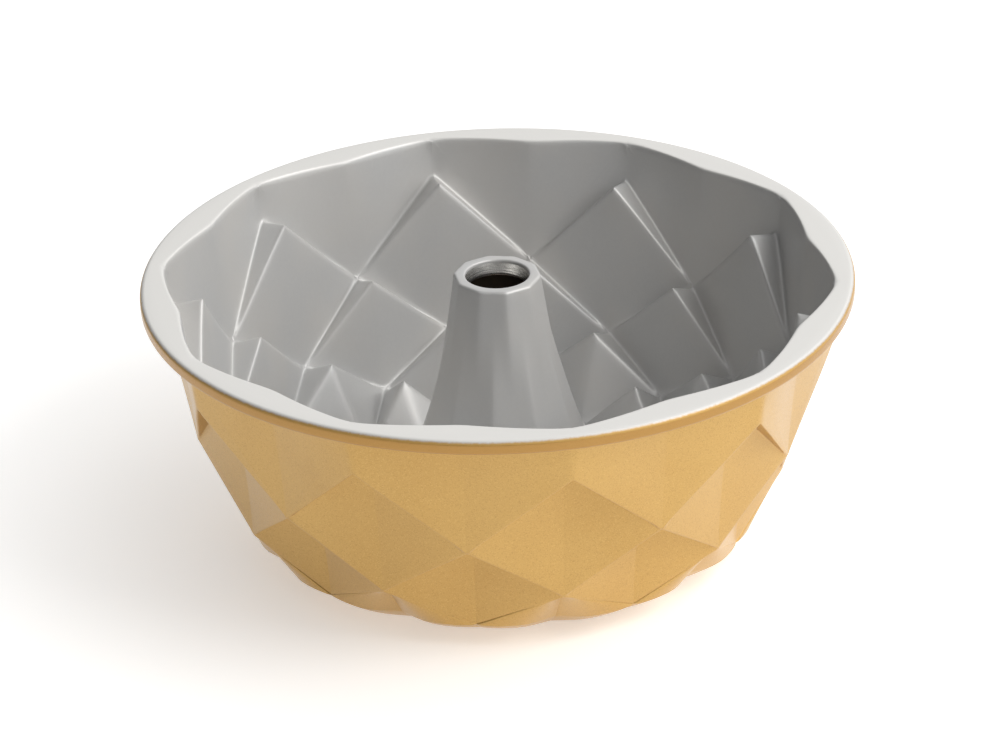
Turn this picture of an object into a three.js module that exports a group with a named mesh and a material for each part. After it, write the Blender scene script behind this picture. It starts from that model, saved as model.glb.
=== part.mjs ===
// Fluted tube cake pan: one cast aluminium bowl, pressed with rows of diamond facets that overlap like
// scales, a hollow chimney up its middle, and a grey nonstick skin over everything the batter touches.
// Millimetres, +Z up. The origin is the middle of the face that the pan rests on.
import * as THREE from 'three';

// Overall sizes.
const rimDiameter = 254;
const bowlDepth = 97; // from the rim's top face to the floor of the trough

// Rim.
const rimWidth = 6.5; // narrowest part of the flat rim, at the outward corners of the mouth
const rimEdgeRound = 1.4; // rounding of the rim's outer edge
const mouthFold = 6.6; // how far the mouth steps in, midway between its outward corners

// Bowl.
const facetColumns = 10; // diamonds side by side round the bowl
const troughWidth = 6.5; // flat floor of the trough, out from the chimney's foot, at its narrowest
const floorNotch = 8; // how much further out every second corner of that floor lies

// The wall's curve runs from the mouth to the trough floor. Its handles are shares of its width and depth.
const wallLean = 0.2336; // upper handle, inwards
const wallReach = 0.5412; // upper handle, down
const bottomReach = 0.736; // lower handle, outwards

// Underneath, the bowl is faceted down to the second row of scales, and each of those scales swells into
// a round lobe. Below the lobes the bowl turns under to its foot.
const lobeRound = 1.3; // how far the lobes swell past the second row's bottom tips
const lobeGroove = 3.5; // depth of the grooves between the lobes
const grooveStep = 3; // how far a groove starts behind the first row's bottom tips
const heelShare = 0.5; // where the bowl turns under, on the way from its foot out to the lobes
const heelRise = 3;
const footWidth = 8; // flat foot, outside the trough floor's outer corners

// The scales' rows, from the mouth down. along is a share of the wall's curve, stand is how far the top
// tip of a scale stands proud of the wall, and lean is how far that tip slides down the wall.
const scaleRows = [
  { along: 0.121, stand: 10.5, lean: 0 },
  { along: 0.385, stand: 13.3, lean: -1.5 },
  { along: 0.583, stand: 16.5, lean: 0 },
  { along: 0.731, stand: 18.5, lean: 3 },
  { along: 0.92, stand: 19, lean: 6 },
];

// Chimney.
const tubeTopRadius = 15.8; // over the corners of its ten sides
const tubeFootRadius = 43.5;
const tubeFlare = 0.59; // 0 is a straight cone, 1 flares only near the foot
const sideTurnStart = 10; // depth where the ten upper sides start to turn into the lower ones
const sideTurnEnd = 42;
const tubeWall = 3.4; // casting and skin together
const tubeTopEdge = 1.1; // bevel round the chimney's top
const boreTopRadius = 11.4; // machined mouth of the chimney
const boreLowRadius = 10.4;
const boreDepth = 4.4;

// Thickness. The skin and the wall are shifted outwards and down from the cavity's face.
const skinOut = 0.7;
const skinDown = 1.3;
const wallOut = 2.2;
const wallDown = 5.3;
const seamGap = 0.3; // clearance between neighbouring pieces of the casting

// Derived sizes.
const rimRadius = rimDiameter / 2;
const mouthRadius = rimRadius - rimWidth;
const totalHeight = bowlDepth + wallDown;
const columns = 2 * facetColumns; // outward and inward corners take turns
const outerRows = 2; // rows of scales that show on the outside
const flatOverCorner = Math.cos(Math.PI / facetColumns);
const floorCornerRadius = tubeFootRadius + troughWidth + floorNotch;
const footRadius = floorCornerRadius + footWidth;
const wallWidth = mouthRadius - floorCornerRadius;

// Points to each column's width on the rings that are finer than the facets.
const rimSplits = 6;
const lobeSplits = 4;
const tubeSplits = 3;

const cavityFace = { grow: 1, down: 0 };
const castingFace = { grow: 1 + skinOut / mouthRadius, down: skinDown };
const outerFace = { grow: 1 + wallOut / mouthRadius, down: wallDown };

const nonstickGrey = new THREE.MeshStandardMaterial({ color: 0x9a9997, roughness: 0.45, metalness: 0.35 });
const goldEnamel = new THREE.MeshStandardMaterial({ color: 0xbd9553, roughness: 0.38, metalness: 0.7 });
const bareAluminium = new THREE.MeshStandardMaterial({ color: 0xc9c9c6, roughness: 0.3, metalness: 1 });

function place(radius, column, depth) {
  const angle = (column * Math.PI) / facetColumns;
  return new THREE.Vector3(radius * Math.cos(angle), radius * Math.sin(angle), totalHeight - depth);
}

function onFace(face, radius, column, depth) {
  return place(radius * face.grow, column, depth + face.down);
}

// The wall's curve through the outward corners: x is a radius and y is a depth.
const wallCurve = new THREE.CubicBezierCurve(
  new THREE.Vector2(mouthRadius, 0),
  new THREE.Vector2(mouthRadius - wallLean * wallWidth, wallReach * bowlDepth),
  new THREE.Vector2(floorCornerRadius + bottomReach * wallWidth, bowlDepth),
  new THREE.Vector2(floorCornerRadius, bowlDepth),
);

// Where a row's corners lie. Two more rows of corners end the wall at the trough floor.
const rowCorners = [
  new THREE.Vector2(mouthRadius, 0),
  ...scaleRows.map((row) => wallCurve.getPointAt(row.along)),
  new THREE.Vector2(floorCornerRadius, bowlDepth),
  new THREE.Vector2(floorCornerRadius - floorNotch, bowlDepth),
];

// The first row's corners lie in the flat of the mouth's folded panels.
function flattenMouthPanels() {
  const [mouth, first, second] = rowCorners;
  const cos = flatOverCorner;
  const sin = Math.sin(Math.PI / facetColumns);
  const fold = mouthRadius - mouthFold;
  const panel = new THREE.Plane().setFromCoplanarPoints(
    new THREE.Vector3(mouth.x * cos, mouth.x * sin, 0),
    new THREE.Vector3(fold, 0, 0),
    new THREE.Vector3(second.x, 0, second.y),
  );
  const outwards = new THREE.Vector3(cos, sin, 0);
  first.x = -(panel.constant + panel.normal.z * first.y) / panel.normal.dot(outwards);
}

flattenMouthPanels();

const rowTips = scaleRows.map((row) => {
  const down = wallCurve.getTangentAt(row.along);
  const inwards = new THREE.Vector2(-down.y, down.x);
  return wallCurve.getPointAt(row.along).addScaledVector(inwards, row.stand).addScaledVector(down, row.lean);
});

function corner(face, row, column) {
  return onFace(face, rowCorners[row].x, column, rowCorners[row].y);
}

function tip(face, row, column) {
  return onFace(face, rowTips[row - 1].x, column, rowTips[row - 1].y);
}

// A body is a list of triangles, three points each, with the outside on the counterclockwise side.
function addTriangle(body, a, b, c, turned = false) {
  body.push(a, turned ? c : b, turned ? b : c);
}

// A four-sided face is split along its shorter diagonal, so that two bodies sharing it split it alike.
function addQuad(body, a, b, c, d, turned = false) {
  if (a.distanceTo(c) < b.distanceTo(d)) {
    addTriangle(body, a, b, c, turned);
    addTriangle(body, a, c, d, turned);
  } else {
    addTriangle(body, a, b, d, turned);
    addTriangle(body, b, c, d, turned);
  }
}

// Joins two rings of points. From a lower ring to an upper one the faces look away from the axis.
function addStrip(body, from, to) {
  for (let i = 0; i < from.length; i += 1) {
    const next = (i + 1) % from.length;
    addQuad(body, from[i], from[next], to[next], to[i]);
  }
}

function addClosedRings(body, rings) {
  rings.forEach((ring, i) => addStrip(body, ring, rings[(i + 1) % rings.length]));
}

// A star with a point at each even column. The straight sides can be split to match a finer ring.
function starRing(evenRadius, oddRadius, depth, splits = 1) {
  const ring = [];
  for (let column = 0; column < columns; column += 1) {
    const isEven = column % 2 === 0;
    const start = place(isEven ? evenRadius : oddRadius, column, depth);
    const end = place(isEven ? oddRadius : evenRadius, column + 1, depth);
    for (let step = 0; step < splits; step += 1) {
      ring.push(start.clone().lerp(end, step / splits));
    }
  }
  return ring;
}

function circleRing(radius, depth, splits) {
  const count = columns * splits;
  return Array.from({ length: count }, (_, i) => place(radius, i / splits, depth));
}

function mouthRing(face, splits = 1, clearance = 0) {
  const even = mouthRadius * face.grow + clearance;
  const odd = (mouthRadius - mouthFold) * face.grow + clearance;
  return starRing(even, odd, face.down, splits);
}

function floorRing(face, splits = 1, clearance = 0) {
  const even = (floorCornerRadius - floorNotch) * face.grow - clearance;
  const odd = floorCornerRadius * face.grow - clearance;
  return starRing(even, odd, bowlDepth + face.down, splits);
}

// A fan-like strip from a ring with one point at each column to a ring split more finely.
function addUnevenStrip(body, coarse, fine) {
  const splits = fine.length / coarse.length;
  coarse.forEach((from, i) => {
    const next = (i + 1) % coarse.length;
    for (let step = 0; step < splits; step += 1) {
      const k = i * splits + step;
      addTriangle(body, from, fine[(k + 1) % fine.length], fine[k]);
    }
    addTriangle(body, from, coarse[next], fine[next * splits]);
  });
}

// The faceted wall. Under the mouth stand ten folded panels, and below them the rows of scales take
// turns on even and odd columns. Each scale is two facets and, above them, the two halves of its step.
function addFacets(body, face, rows, turned) {
  for (let column = 1; column < columns; column += 2) {
    const fold = onFace(face, mouthRadius - mouthFold, column, 0);
    const bottom = corner(face, 2, column);
    const [mouthLeft, mouthRight] = [corner(face, 0, column + 1), corner(face, 0, column - 1)];
    addQuad(body, fold, mouthLeft, corner(face, 1, column + 1), bottom, turned);
    addQuad(body, fold, bottom, corner(face, 1, column - 1), mouthRight, turned);
  }
  for (let row = 1; row <= rows; row += 1) {
    for (let column = (row + 1) % 2; column < columns; column += 2) {
      const [back, top] = [corner(face, row, column), tip(face, row, column)];
      const [left, right] = [corner(face, row + 1, column + 1), corner(face, row + 1, column - 1)];
      const bottom = corner(face, row + 2, column);
      addTriangle(body, back, left, top, turned);
      addTriangle(body, back, top, right, turned);
      addTriangle(body, top, left, bottom, turned);
      addTriangle(body, top, bottom, right, turned);
    }
  }
}

function tubeRadii(depth, inset) {
  const share = Math.min(depth / bowlDepth, 1);
  const flared = share * (1 - tubeFlare) + share * share * tubeFlare;
  const radius = tubeTopRadius + (tubeFootRadius - tubeTopRadius) * flared;
  const turn = THREE.MathUtils.smoothstep(depth, sideTurnStart, sideTurnEnd);
  const even = radius * THREE.MathUtils.lerp(1, flatOverCorner, turn) - inset;
  const odd = radius * THREE.MathUtils.lerp(flatOverCorner, 1, turn) - inset * flatOverCorner;
  return [even, odd];
}

function tubeRing(depth, inset) {
  const [even, odd] = tubeRadii(depth, inset);
  return starRing(even, odd, depth, tubeSplits);
}

function tubeBoreRing(radius, depth) {
  return circleRing(radius, depth, tubeSplits);
}

// Depths of the rings that shape the chimney between its top and its foot.
const tubeTurns = [0.15, 0.25, 0.34, 0.43, 0.57, 0.7, 0.84].map((share) => share * bowlDepth);
const tubeHollow = (depth) => tubeRadii(depth, tubeWall)[1] * flatOverCorner;

function bowlLining() {
  const body = [];
  addFacets(body, cavityFace, scaleRows.length, false);
  addFacets(body, castingFace, scaleRows.length, true);
  addStrip(body, mouthRing(castingFace), mouthRing(cavityFace));
  const [even, odd] = tubeRadii(bowlDepth, -seamGap);
  const footTop = starRing(even, odd, bowlDepth);
  const footLow = starRing(even, odd, bowlDepth + skinDown);
  addStrip(body, floorRing(cavityFace), footTop);
  addStrip(body, footTop, footLow);
  addStrip(body, footLow, floorRing(castingFace));
  return body;
}

// The lobes' bottoms lie level with the second row's bottom tips, which are also their deepest corners.
const lobeBottom = rowCorners[outerRows + 2].y + wallDown;
const lobeRadius = rowCorners[outerRows + 2].x * outerFace.grow + lobeRound;

function lobeRing() {
  return circleRing(lobeRadius, lobeBottom, lobeSplits).map((point, i) => {
    const column = i / lobeSplits;
    if (column % 2 === 1) {
      return corner(outerFace, outerRows + 2, column);
    }
    return column % 2 === 0 ? place(lobeRadius - lobeGroove, column, lobeBottom) : point;
  });
}

// The round underside, from the second row of scales down to the foot.
function addUnderside(body) {
  const lobes = lobeRing();
  const lobePoint = (i) => lobes[(i + lobes.length) % lobes.length];
  for (let column = 0; column < columns; column += 2) {
    const groove = column * lobeSplits;
    const bottomTip = corner(outerFace, outerRows + 1, column);
    const { x: radius, y: depth } = rowCorners[outerRows + 1];
    const grooveTop = onFace(outerFace, radius - grooveStep, column, depth);
    for (let step = 1; step < lobeSplits; step += 1) {
      addTriangle(body, lobePoint(groove + step), lobePoint(groove + step + 1), bottomTip);
      addTriangle(body, lobePoint(groove - step - 1), lobePoint(groove - step), bottomTip);
    }
    addTriangle(body, lobePoint(groove), lobePoint(groove + 1), grooveTop);
    addTriangle(body, lobePoint(groove - 1), lobePoint(groove), grooveTop);
    addTriangle(body, grooveTop, lobePoint(groove + 1), bottomTip);
    addTriangle(body, lobePoint(groove - 1), grooveTop, bottomTip);
  }
  const heelRadius = THREE.MathUtils.lerp(footRadius, lobeRadius, heelShare);
  const heel = circleRing(heelRadius, totalHeight - heelRise, lobeSplits);
  const foot = circleRing(footRadius, totalHeight, lobeSplits);
  addStrip(body, heel, lobes);
  addStrip(body, foot, heel);
  addUnevenStrip(body, floorRing(outerFace), foot);
}

function bowlWall() {
  const body = [];
  addFacets(body, castingFace, scaleRows.length, false);
  addFacets(body, outerFace, outerRows, true);
  addUnderside(body);
  addStrip(body, mouthRing(outerFace), mouthRing(castingFace));
  addStrip(body, floorRing(castingFace), floorRing(outerFace));
  return body;
}

// The rim's outer edge, as the rings of a quarter circle from its side up or down to a flat face.
function rimEdgeRings(startAngle, middleDepth) {
  const steps = 3;
  return Array.from({ length: steps + 1 }, (_, i) => {
    const angle = startAngle + (i * Math.PI) / 2 / steps;
    const radius = rimRadius - rimEdgeRound + rimEdgeRound * Math.cos(angle);
    return circleRing(radius, middleDepth - rimEdgeRound * Math.sin(angle), rimSplits);
  });
}

function rimFlange() {
  const body = [];
  addClosedRings(body, [
    mouthRing(outerFace, rimSplits, seamGap),
    ...rimEdgeRings(-Math.PI / 2, wallDown - rimEdgeRound),
    circleRing(rimRadius, skinDown, rimSplits),
    mouthRing(castingFace, rimSplits, seamGap),
  ]);
  return body;
}

function rimLining() {
  const body = [];
  addClosedRings(body, [
    mouthRing(castingFace, rimSplits, seamGap),
    circleRing(rimRadius, skinDown, rimSplits),
    circleRing(rimRadius - skinDown / 4, skinDown / 3, rimSplits),
    circleRing(rimRadius - skinDown, 0, rimSplits),
    mouthRing(cavityFace, rimSplits, seamGap),
  ]);
  return body;
}

function tubeLining() {
  const body = [];
  const foot = bowlDepth + skinDown;
  addClosedRings(body, [
    tubeRing(foot, skinDown),
    tubeRing(foot, 0),
    tubeRing(bowlDepth, 0),
    ...tubeTurns.toReversed().map((depth) => tubeRing(depth, 0)),
    tubeRing(tubeTopEdge, 0),
    tubeRing(0, tubeTopEdge),
    tubeBoreRing(boreTopRadius, 0),
    tubeBoreRing(boreTopRadius, skinDown),
    tubeRing(skinDown, skinDown),
    ...tubeTurns.map((depth) => tubeRing(depth, skinDown)),
    tubeRing(bowlDepth, skinDown),
  ]);
  return body;
}

function tubeCollar() {
  const body = [];
  const low = skinDown + boreDepth;
  addClosedRings(body, [
    tubeBoreRing(boreLowRadius, low),
    tubeRing(low, skinDown + seamGap),
    tubeRing(skinDown, skinDown + seamGap),
    tubeBoreRing(boreTopRadius, skinDown),
  ]);
  return body;
}

function centreTube() {
  const body = [];
  const top = skinDown + boreDepth + seamGap;
  const foot = bowlDepth + skinDown;
  addClosedRings(body, [
    tubeBoreRing(tubeHollow(bowlDepth), totalHeight),
    tubeRing(totalHeight, skinDown + seamGap),
    tubeRing(foot, skinDown + seamGap),
    ...tubeTurns.toReversed().map((depth) => tubeRing(depth, skinDown + seamGap)),
    tubeRing(top, skinDown + seamGap),
    tubeBoreRing(tubeHollow(top), top),
    ...tubeTurns.map((depth) => tubeBoreRing(tubeHollow(depth), depth)),
  ]);
  return body;
}

function footRing() {
  const body = [];
  const [even, odd] = tubeRadii(bowlDepth, skinDown);
  const top = bowlDepth + skinDown;
  addClosedRings(body, [
    starRing(even, odd, totalHeight),
    floorRing(outerFace, 1, seamGap),
    floorRing(castingFace, 1, seamGap),
    starRing(even, odd, top),
  ]);
  return body;
}

function makePart(name, body, material) {
  const geometry = new THREE.BufferGeometry().setFromPoints(body);
  geometry.computeVertexNormals();
  const mesh = new THREE.Mesh(geometry, material);
  mesh.name = name;
  return mesh;
}

const pan = new THREE.Group();
pan.add(
  makePart('rim_flange', rimFlange(), goldEnamel),
  makePart('bowl_wall', bowlWall(), goldEnamel),
  makePart('foot_ring', footRing(), goldEnamel),
  makePart('centre_tube', centreTube(), goldEnamel),
  makePart('tube_collar', tubeCollar(), bareAluminium),
  makePart('rim_lining', rimLining(), nonstickGrey),
  makePart('bowl_lining', bowlLining(), nonstickGrey),
  makePart('tube_lining', tubeLining(), nonstickGrey),
);

export default pan;
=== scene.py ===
import math

import bmesh
import bpy
import numpy as np
from mathutils import Matrix, Vector


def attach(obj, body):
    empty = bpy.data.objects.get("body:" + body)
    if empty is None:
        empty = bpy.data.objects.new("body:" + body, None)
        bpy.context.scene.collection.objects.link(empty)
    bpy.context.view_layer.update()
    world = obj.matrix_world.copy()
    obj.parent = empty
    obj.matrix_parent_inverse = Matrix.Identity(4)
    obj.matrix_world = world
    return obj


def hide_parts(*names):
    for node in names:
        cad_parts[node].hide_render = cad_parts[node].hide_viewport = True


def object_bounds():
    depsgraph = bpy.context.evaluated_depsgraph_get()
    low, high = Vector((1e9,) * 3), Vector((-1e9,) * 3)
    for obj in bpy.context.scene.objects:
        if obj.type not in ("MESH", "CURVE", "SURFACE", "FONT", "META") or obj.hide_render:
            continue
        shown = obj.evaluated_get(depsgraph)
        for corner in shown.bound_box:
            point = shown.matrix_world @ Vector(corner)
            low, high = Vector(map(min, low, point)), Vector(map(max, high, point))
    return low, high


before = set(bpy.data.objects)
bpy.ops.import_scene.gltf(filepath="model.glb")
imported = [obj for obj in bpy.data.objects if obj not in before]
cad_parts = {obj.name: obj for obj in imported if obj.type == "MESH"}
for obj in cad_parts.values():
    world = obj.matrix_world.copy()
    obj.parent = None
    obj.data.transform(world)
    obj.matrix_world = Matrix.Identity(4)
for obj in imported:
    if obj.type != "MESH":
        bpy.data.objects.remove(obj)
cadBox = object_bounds()
print("frame loaded:", ", ".join(sorted(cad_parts)))

# Shape code works in millimetres, and every finished mesh is turned to metres.
metres = 0.001


class Wire:
    # one socket, with the arithmetic that an expression needs
    def __init__(self, graph, socket):
        self.graph = graph
        self.socket = socket

    def __add__(self, other):
        return self.graph.calc("ADD", self, other)

    def __radd__(self, other):
        return self.graph.calc("ADD", other, self)

    def __sub__(self, other):
        return self.graph.calc("SUBTRACT", self, other)

    def __rsub__(self, other):
        return self.graph.calc("SUBTRACT", other, self)

    def __mul__(self, other):
        return self.graph.calc("MULTIPLY", self, other)

    def __rmul__(self, other):
        return self.graph.calc("MULTIPLY", other, self)

    def __truediv__(self, other):
        return self.graph.calc("DIVIDE", self, other)

    def __rtruediv__(self, other):
        return self.graph.calc("DIVIDE", other, self)


class Graph:
    # a shader or geometry node tree, and the one way to add nodes to it
    def __init__(self, tree):
        self.tree = tree

    def make(self, kind, settings=None, values=None, output=0):
        node = self.tree.nodes.new(kind)
        for name, value in (settings or {}).items():
            setattr(node, name, value)
        for key, value in (values or {}).items():
            self.plug(value, node.inputs[key])
        return Wire(self, node.outputs[output]) if node.outputs else node

    def plug(self, value, socket):
        if isinstance(value, Wire):
            self.tree.links.new(value.socket, socket)
        else:
            socket.default_value = value

    def calc(self, operation, first, second=0.0):
        return self.make("ShaderNodeMath", {"operation": operation}, {0: first, 1: second})

    def out(self, wire, name):
        # another output of the node that a wire comes from
        return Wire(self, wire.socket.node.outputs[name])

    def blend(self, factor, first, second):
        return self.make(
            "ShaderNodeMix", {"data_type": "RGBA"}, {0: factor, 6: first, 7: second}, output=2
        )

    def ramp(self, value, low, high):
        # 0 below low, 1 above high, smooth between
        return self.make(
            "ShaderNodeMapRange",
            {"interpolation_type": "SMOOTHSTEP"},
            {"Value": value, "From Min": low, "From Max": high},
        )


def inputId(tree, name):
    return next(
        item.identifier
        for item in tree.interface.items_tree
        if item.item_type == "SOCKET" and item.in_out == "INPUT" and item.name == name
    )


def makeGeometryTree(name, inputs):
    tree = bpy.data.node_groups.new(name, "GeometryNodeTree")
    tree.interface.new_socket("Geometry", in_out="OUTPUT", socket_type="NodeSocketGeometry")
    tree.interface.new_socket("Geometry", in_out="INPUT", socket_type="NodeSocketGeometry")
    for label, kind in inputs.items():
        tree.interface.new_socket(label, in_out="INPUT", socket_type="NodeSocket" + kind)
    graph = Graph(tree)
    source = tree.nodes.new("NodeGroupInput")
    ports = {socket.name: Wire(graph, socket) for socket in source.outputs if socket.name}
    return graph, ports


def endTree(graph, geometry, material):
    finished = graph.make("GeometryNodeSetMaterial", None, {"Geometry": geometry, "Material": material})
    sink = graph.tree.nodes.new("NodeGroupOutput")
    graph.plug(finished, sink.inputs[0])


def turnFacesOut(mesh):
    work = bmesh.new()
    work.from_mesh(mesh)
    bmesh.ops.dissolve_degenerate(work, dist=1e-6, edges=work.edges)
    bmesh.ops.recalc_face_normals(work, faces=work.faces)
    openEdges = sum(1 for edge in work.edges if not edge.is_manifold)
    work.to_mesh(mesh)
    work.free()
    return openEdges


sharpAngle = math.radians(40)  # edges that turn more than this stay crisp
joinDistance = 4e-6  # metres between points that are meant to be one


def runTree(source, tree, settings, name):
    # the tree's result as a plain closed piece
    bpy.context.scene.collection.objects.link(source)
    modifier = source.modifiers.new("rule", "NODES")
    modifier.node_group = tree
    for label, value in settings.items():
        modifier[inputId(tree, label)] = value
    evaluated = source.evaluated_get(bpy.context.evaluated_depsgraph_get())
    mesh = bpy.data.meshes.new_from_object(evaluated)
    source.modifiers.remove(modifier)
    bpy.data.objects.remove(source)
    mesh.name = name
    for attribute in [a.name for a in mesh.attributes if a.name in ("inset", "round")]:
        mesh.attributes.remove(mesh.attributes[attribute])
    openEdges = turnFacesOut(mesh)
    mesh.shade_smooth()
    mesh.set_sharp_from_angle(angle=sharpAngle)
    piece = bpy.data.objects.new(name, mesh)
    bpy.context.scene.collection.objects.link(piece)
    print(f"{name}: {len(mesh.polygons)} faces, {openEdges} open edges")
    return piece


def makeMesh(name, points, faces, scale=metres):
    mesh = bpy.data.meshes.new(name)
    mesh.from_pydata((np.asarray(points) * scale).tolist(), [], [list(map(int, f)) for f in faces])
    mesh.update()
    return mesh


# The pan's own rule, in millimetres. A column is half a facet wide, and depths are measured down
# from the rim's top.
pan = {
    "mouthRadius": 120.5,
    "mouthFold": 6.6,
    "bowlDepth": 97,
    "facetColumns": 10,
    "floorCorner": 58,
    "floorNotch": 8,
    "wallLean": 0.2336,
    "wallReach": 0.5412,
    "bottomReach": 0.736,
    # share along the wall's curve, how far the top tip stands proud, how far it slides down
    "scaleRows": [
        (0.121, 10.5, 0),
        (0.385, 13.3, -1.5),
        (0.583, 16.5, 0),
        (0.731, 18.5, 3),
        (0.92, 19, 6),
    ],
    "outerRows": 2,
    "skinOut": 0.7,
    "skinDown": 1.3,
    "wallOut": 2.2,
    "wallDown": 5.3,
}
rimRadius = cadBox[1].x / metres
totalHeight = cadBox[1].z / metres
columns = 2 * pan["facetColumns"]
columnTurn = math.pi / pan["facetColumns"]
mouthRadius = pan["mouthRadius"]
bowlDepth = pan["bowlDepth"]


def makeFace(out, down):
    return {"grow": 1 + out / mouthRadius, "down": down}


cavityFace = makeFace(0, 0)
castingFace = makeFace(pan["skinOut"], pan["skinDown"])
outerFace = makeFace(pan["wallOut"], pan["wallDown"])


def place(radius, column, depth):
    angle = column * columnTurn
    return np.array([radius * math.cos(angle), radius * math.sin(angle), totalHeight - depth])


def onFace(face, radius, column, depth):
    return place(radius * face["grow"], column, depth + face["down"])


def wallPoint(t):
    width = mouthRadius - pan["floorCorner"]
    knots = np.array(
        [
            (mouthRadius, 0),
            (mouthRadius - pan["wallLean"] * width, pan["wallReach"] * bowlDepth),
            (pan["floorCorner"] + pan["bottomReach"] * width, bowlDepth),
            (pan["floorCorner"], bowlDepth),
        ]
    )
    weights = [(1 - t) ** 3, 3 * t * (1 - t) ** 2, 3 * t * t * (1 - t), t**3]
    return np.dot(weights, knots)


wallSteps = np.linspace(0, 1, 201)
wallPoints = np.array([wallPoint(t) for t in wallSteps])
wallLengths = np.r_[0, np.cumsum(np.linalg.norm(np.diff(wallPoints, axis=0), axis=1))]


def wallAt(share):
    # the wall's point at a share of its length, and its direction there
    t = np.interp(share * wallLengths[-1], wallLengths, wallSteps)
    nudge = 1e-4
    heading = wallPoint(t + nudge) - wallPoint(t - nudge)
    return wallPoint(t), heading / np.linalg.norm(heading)


rowCorners = [np.array([mouthRadius, 0.0])]
rowTips = []
for along, stand, lean in pan["scaleRows"]:
    point, heading = wallAt(along)
    rowCorners.append(point.copy())
    rowTips.append(point + np.array([-heading[1], heading[0]]) * stand + heading * lean)
rowCorners.append(np.array([pan["floorCorner"], bowlDepth]))
rowCorners.append(np.array([pan["floorCorner"] - pan["floorNotch"], bowlDepth]))


def flattenMouthPanels():
    # the first row's corners lie in the flat of the mouth's folded panels
    cos, sin = math.cos(columnTurn), math.sin(columnTurn)
    mouth, first, second = rowCorners[:3]
    a = np.array([mouth[0] * cos, mouth[0] * sin, 0])
    b = np.array([mouthRadius - pan["mouthFold"], 0, 0])
    c = np.array([second[0], 0, second[1]])
    normal = np.cross(c - b, a - b)
    first[0] = (normal.dot(b) - normal[2] * first[1]) / normal.dot([cos, sin, 0])


flattenMouthPanels()


def corner(face, row, column):
    return onFace(face, rowCorners[row][0], column, rowCorners[row][1])


def tip(face, row, column):
    return onFace(face, rowTips[row - 1][0], column, rowTips[row - 1][1])


def fold(face, column):
    return onFace(face, mouthRadius - pan["mouthFold"], column, 0)


# Each coarse facet becomes a fine grid, closer together near its edges. The rounding then moves every
# point by how near it lies to the creases, so neighbouring facets stay joined.
facetGrid = {"splits": 18, "power": 2.2}


def edgeShares(splits):
    w = (np.arange(splits + 1) / splits) ** facetGrid["power"]
    return w / (w + w[::-1])


def lerp(a, b, share):
    return a + (b - a) * share


def gridFacet(splits, spot):
    # a triangle's fine grid: spot gives the point at three shares that add up to one
    w = (np.arange(splits + 1) / splits) ** facetGrid["power"]
    index, points, faces = {}, [], []
    for i in range(splits + 1):
        for j in range(splits + 1 - i):
            index[i, j] = len(points)
            share = np.array([w[splits - i - j], w[i], w[j]])
            points.append(spot(share / share.sum()))
    for i in range(splits):
        for j in range(splits - i):
            faces.append((index[i, j], index[i + 1, j], index[i, j + 1]))
            if i + j < splits - 1:
                faces.append((index[i + 1, j], index[i + 1, j + 1], index[i, j + 1]))
    return points, faces


def splitFacet(corners, splits):
    return gridFacet(splits, lambda share: share.dot(corners))


def splitPressedFacet(corners, splits, crease, depth):
    # the surface is pressed in towards the axis between the two corners of the crease
    def spot(share):
        point = share.dot(corners)
        press = depth * 4 * share[crease[0]] * share[crease[1]]
        point[:2] *= 1 - press / math.hypot(point[0], point[1])
        return point

    return gridFacet(splits, spot)


def wallFacets(rows, first):
    # named corners of the facets of one column pair
    foldTop, foldLow = ("fold", 0, first), ("corner", 2, first)
    facets = []
    for side in (1, -1):
        mouth, back = ("corner", 0, first + side), ("corner", 1, first + side)
        facets += [(foldTop, mouth, foldLow)[::side], (mouth, back, foldLow)[::side]]
    for row in range(1, rows + 1):
        column = first + row % 2
        back, top, low = ("corner", row, column), ("tip", row, column), ("corner", row + 2, column)
        for side in (1, -1):
            end = ("corner", row + 1, column + side)
            facets += [(back, end, top)[::side], (top, end, low)[::side]]
    return facets


def locate(face, name):
    kind, row, column = name
    if kind == "fold":
        return fold(face, column)
    if kind == "rim":
        return onFace(face, rimRadius, column, 0)
    if kind == "middle":
        return onFace(face, 0, 0, row)
    return corner(face, row, column) if kind == "corner" else tip(face, row, column)


def creaseKind(ends):
    kinds = sorted((kind, row) for kind, row, _ in ends)
    sameColumn = ends[0][2] == ends[1][2]
    if kinds == [("corner", 0), ("fold", 0)]:
        return "lip"
    if kinds[1][0] == "fold":
        return "fold"
    if kinds == [("corner", 0), ("corner", 1)]:
        return "mouthCorner"
    if kinds[1][0] == "tip":
        if not sameColumn:
            return "tipEdge"
        return "ridge" if kinds[0][1] > kinds[1][1] else "stepCrease"
    return "stepFoot"


leastTurn = math.radians(1.5)  # facets that meet more flatly than this have no crease


def findCreases(face, facets, widths, inwards):
    # each crease: its ends, which way and how far it moves the surface, and how wide it reaches
    sides = {}
    for names in facets:
        points = [locate(face, name) for name in names]
        normal = np.cross(points[1] - points[0], points[2] - points[0])
        normal = normal / np.linalg.norm(normal) * (1 if inwards else -1)
        for i in range(3):
            ends = (names[i], names[(i + 1) % 3])
            sides.setdefault(frozenset(ends), []).append((ends, points[(i + 2) % 3], normal))
    creases = []
    for found in sides.values():
        if len(found) != 2:
            continue
        (ends, _, n1), (_, far, n2) = found
        turn = math.acos(max(-1.0, min(1.0, float(n1.dot(n2)))))
        if turn < leastTurn:
            continue
        p, q = locate(face, ends[0]), locate(face, ends[1])
        isValley = (far - p).dot(n1) > 0
        shift = (n1 + n2) / np.linalg.norm(n1 + n2) * math.sin(turn / 2) * (1 if isValley else -1)
        kind = creaseKind(ends)
        if kind in ("fold", "mouthCorner"):
            shift[2] = 0  # keeps the rim flat above
        creases.append((p, q, shift, widths[kind] * (widths["valley"] if isValley else 1)))
    return creases


knotShare = 1.15  # how far a point may move where creases meet, over what the strongest one gives


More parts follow.
